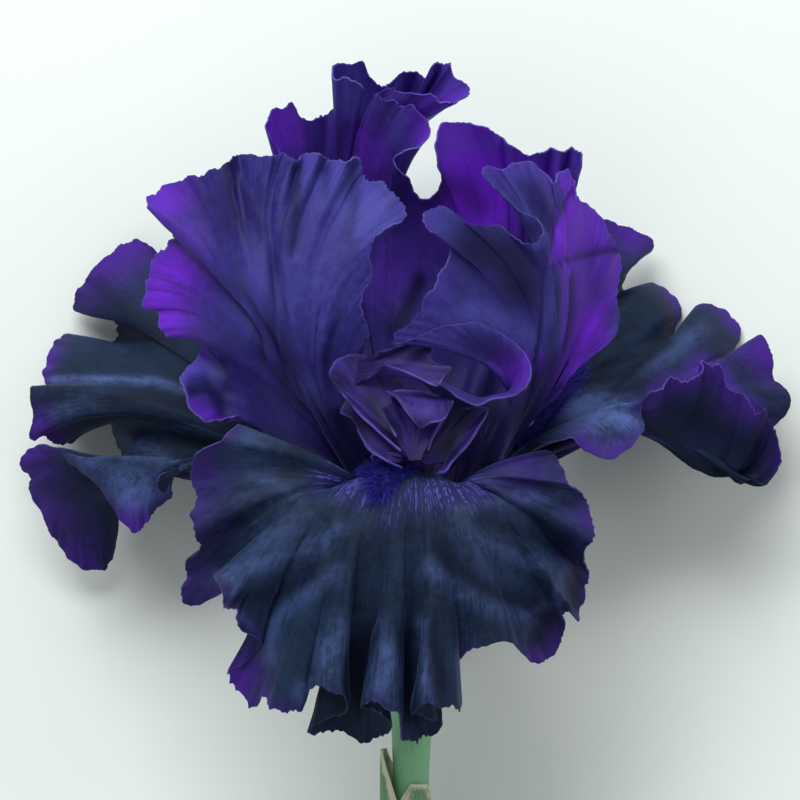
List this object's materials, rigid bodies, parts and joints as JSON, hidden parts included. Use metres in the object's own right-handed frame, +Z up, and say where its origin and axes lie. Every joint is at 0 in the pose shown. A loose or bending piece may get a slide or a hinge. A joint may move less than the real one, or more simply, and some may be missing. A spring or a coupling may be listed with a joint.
{
  "type": "bearded iris flower",
  "caption": "Cut bearded iris flower with ruffled velvety falls, upright ruffled standards, fuzzy beards, crested style arms, ovary, papery spathes and a short round stem.",
  "frame": {"origin": "on the table plane, under the middle of the flower's bounding box", "axes": "+Y from the stem's cut end towards the flower's top, as it lies on its back; +Z up, out through the front fall and the open face; +X to the flower's right as seen from above"},
  "size_m": [0.1662, 0.2396, 0.0861],
  "materials": {
    "fall": "velvety petal, blackish navy with a blue-grey bloom and violet margins",
    "standard": "thin satiny petal, indigo violet, brighter where light comes through",
    "beard": "dense short hairs, deep indigo blue",
    "style": "satiny violet with paler rims",
    "stamen": "pale lilac filament and dusty anther",
    "stem": "fresh green stem tissue with a pale waxy bloom",
    "spathe": "green leafy sheath with dry cream edges"
  },
  "bodies": {
    "root": {"fall_front": "fall", "fall_left": "fall", "fall_right": "fall", "standard_left": "standard", "standard_right": "standard", "standard_back": "standard", "beard_front": "beard", "beard_left": "beard", "beard_right": "beard", "style_front": "style", "style_left": "style", "style_right": "style", "stamen_front": "stamen", "stamen_left": "stamen", "stamen_right": "stamen", "ovary": "stem", "stem": "stem", "spathe_inner": "spathe", "spathe_outer": "spathe"}
  },
  "joints": []
}
